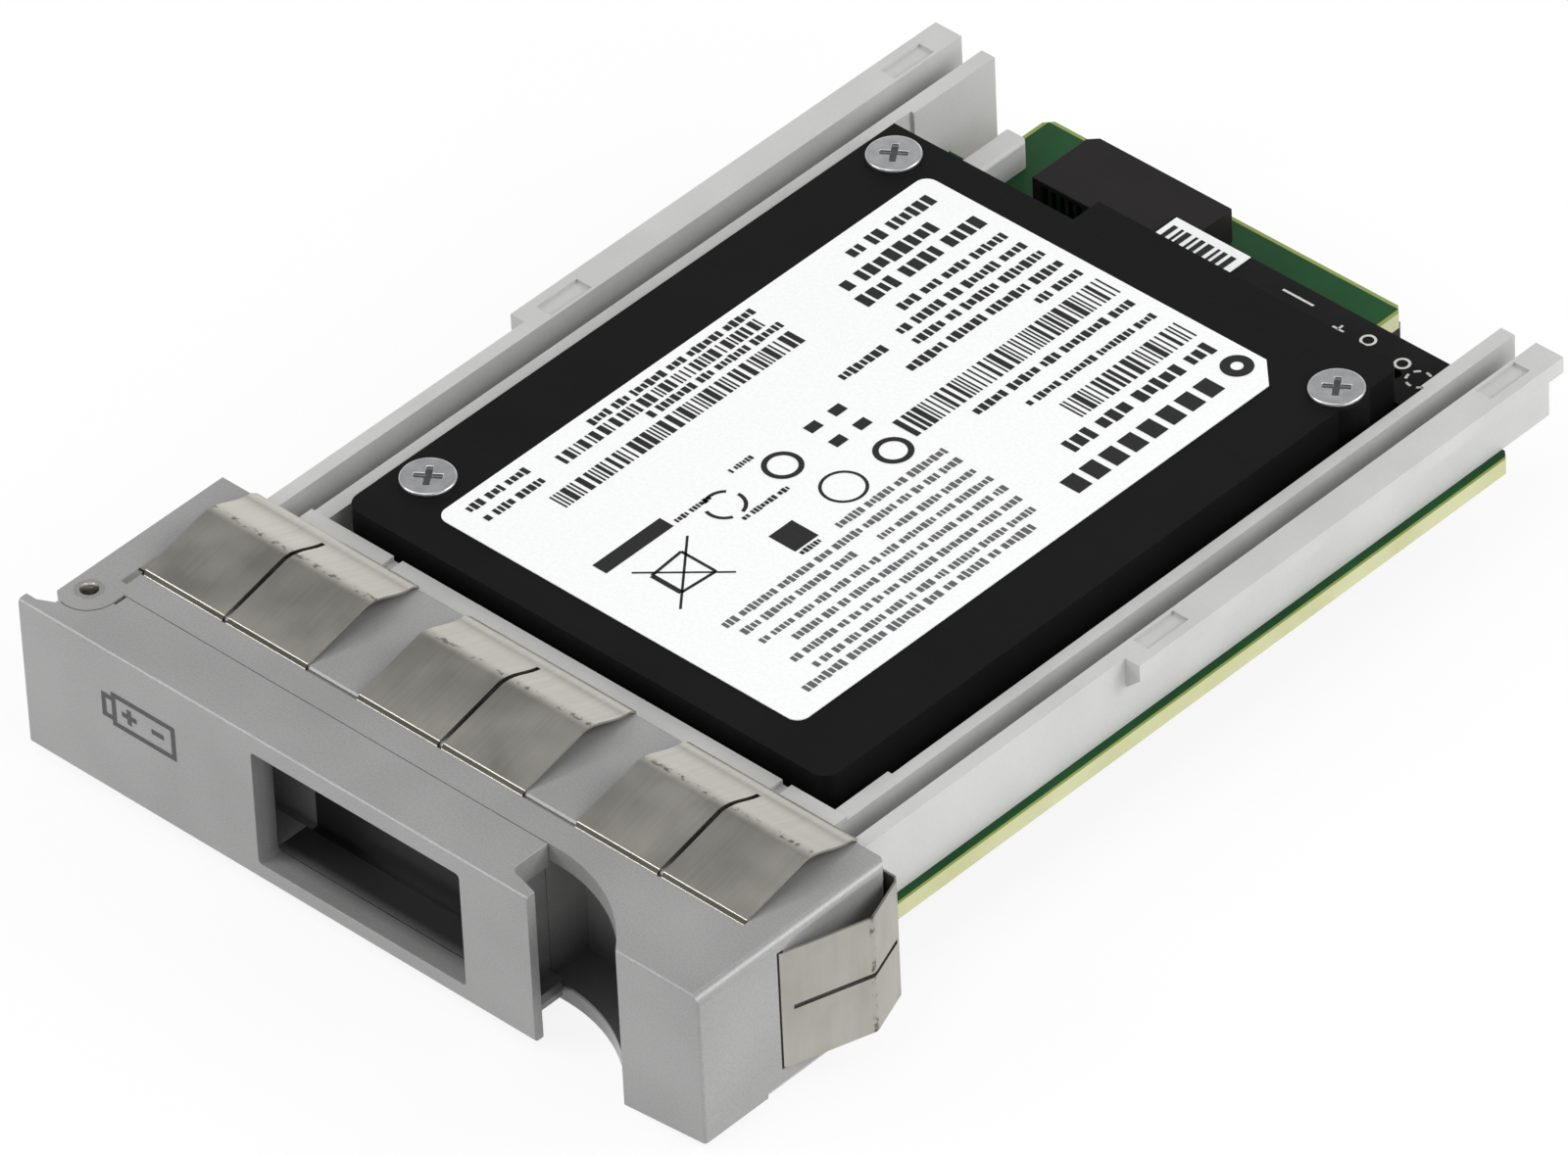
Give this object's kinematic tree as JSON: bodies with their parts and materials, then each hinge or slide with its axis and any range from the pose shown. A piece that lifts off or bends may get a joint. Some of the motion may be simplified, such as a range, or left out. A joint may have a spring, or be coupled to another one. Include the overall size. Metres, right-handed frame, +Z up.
{
  "type": "raid battery module",
  "caption": "Hot-swap backup-battery module for a disk bay: bezel with a hinged ejector lever and spring fingers, plastic rails, carrier board and a covered battery pack.",
  "frame": {"origin": "on the bay's centre plane (X), at the module's front face (Y) and level with its lowest surface (Z)", "axes": "+X across the module, to the right as seen from the front; +Y into the bay, toward the rear connector; +Z up"},
  "size_m": [0.0787, 0.1092, 0.0182],
  "materials": {
    "bezel_paint": "satin silver paint",
    "lever_paint": "satin silver paint",
    "pin_steel": "plain",
    "spring_steel": "rolled stainless sheet",
    "tray_plastic": "fine texture",
    "board_green": "solder mask",
    "chip_epoxy": "moulded epoxy",
    "ceramic": "fired ceramic",
    "pack_plastic": "fine texture",
    "label_film": "matt film",
    "cell_foil": "laminated foil",
    "foam": "soft foam",
    "nickel": "plated strip",
    "board_black": "solder mask",
    "connector_plastic": "glass-filled",
    "gold_plate": "thin gold plate",
    "contact_nickel": "dark nickel plate",
    "zinc": "bright zinc plate",
    "brass": "turned"
  },
  "bodies": {
    "module": {"bezel_body": "bezel_paint", "hinge_pin": "pin_steel", "top_spring_strip": "spring_steel", "side_spring_clip": "spring_steel", "shield_tab": "spring_steel", "tray": "tray_plastic", "carrier_board": "board_green", "board_chips": "chip_epoxy", "board_passives": "ceramic", "battery_cover": "pack_plastic", "battery_label": "label_film", "lithium_cell": "cell_foil", "cell_pad": "foam", "cell_tabs": "nickel", "battery_base": "pack_plastic", "battery_board": "board_black", "code_label": "label_film", "board_connector": "connector_plastic", "board_contacts": "contact_nickel", "backplane_plug": "connector_plastic", "backplane_contacts": "gold_plate", "battery_screws": "zinc", "battery_inserts": "brass", "tray_screws": "zinc", "bezel_screws": "zinc"},
    "lever": {"ejector_lever": "lever_paint"}
  },
  "joints": [
    {"name": "lever_hinge", "type": "hinge", "parent": "module", "child": "lever", "pos_m": [-0.03525, 0.00466, 0.0085], "axis": [0, 0, -1], "range_deg": [0, 55]}
  ]
}
